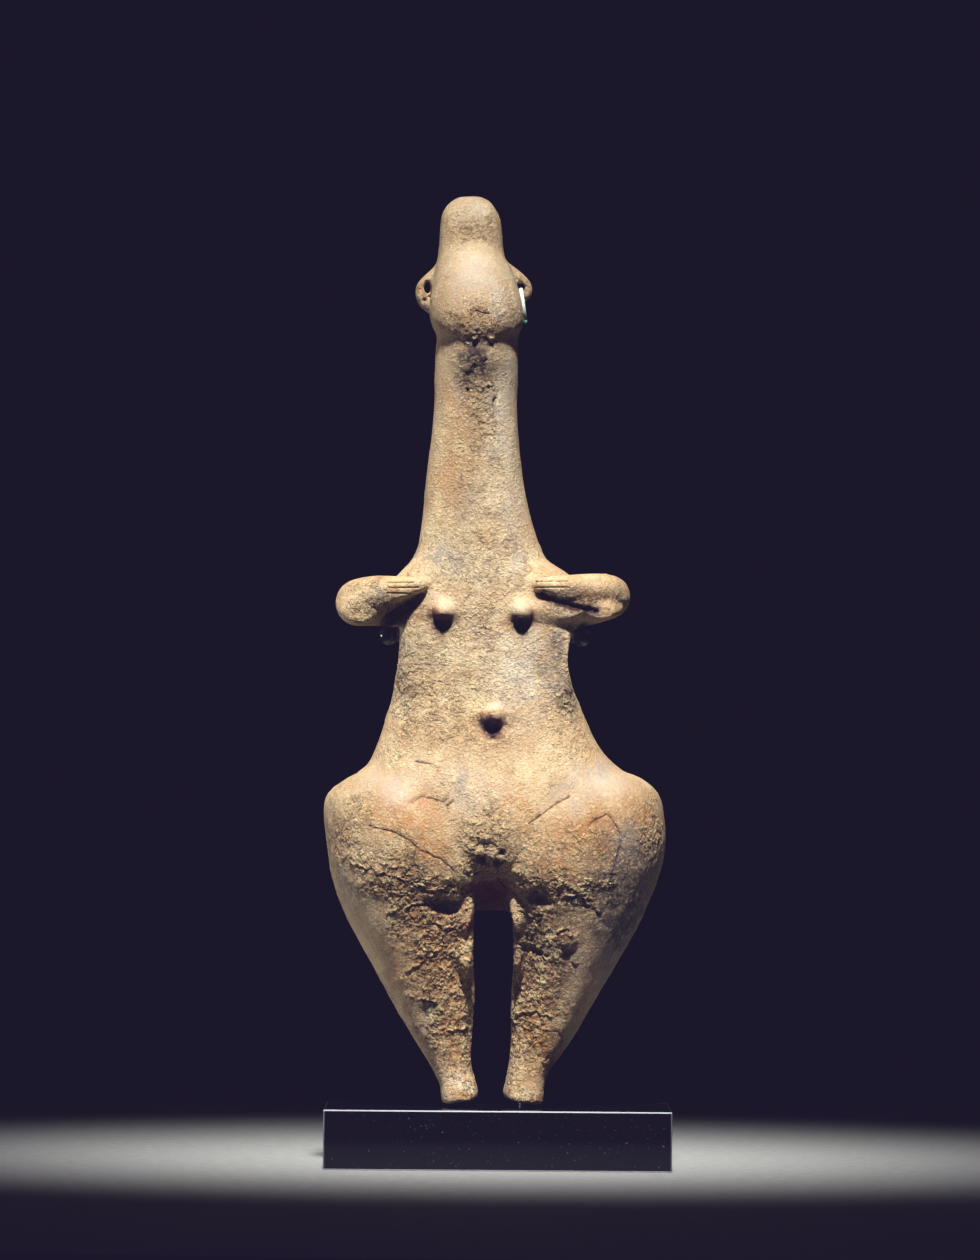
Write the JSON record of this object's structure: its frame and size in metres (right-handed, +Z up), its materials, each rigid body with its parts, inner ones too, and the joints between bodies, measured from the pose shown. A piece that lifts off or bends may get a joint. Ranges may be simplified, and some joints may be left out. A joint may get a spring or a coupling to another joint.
{
  "type": "steatopygous idol",
  "caption": "Fired-clay female idol with huge hips, a long neck, a pierced round head and folded arms, held upright under the armpits by a black rod stand on a block.",
  "frame": {"origin": "middle of the underside of the block that the idol stands over", "axes": "+Z up the figure; the figure faces -Y; +X is to the right of someone looking at its front"},
  "size_m": [0.1549, 0.1079, 0.4302],
  "materials": {
    "fired_clay": "unglazed buff pottery with an earthy crust",
    "green_bronze": "old bronze wire with a green and blue patina",
    "gloss_black": "polished black block with sharp edges",
    "black_steel": "satin black paint on bent steel rod",
    "dark_tubing": "dark blue-green soft tubing, slightly shiny"
  },
  "bodies": {
    "root": {"idol": "fired_clay", "earring": "green_bronze", "plinth": "gloss_black", "cradle": "black_steel", "sleeve_left": "dark_tubing", "sleeve_right": "dark_tubing"}
  },
  "joints": []
}
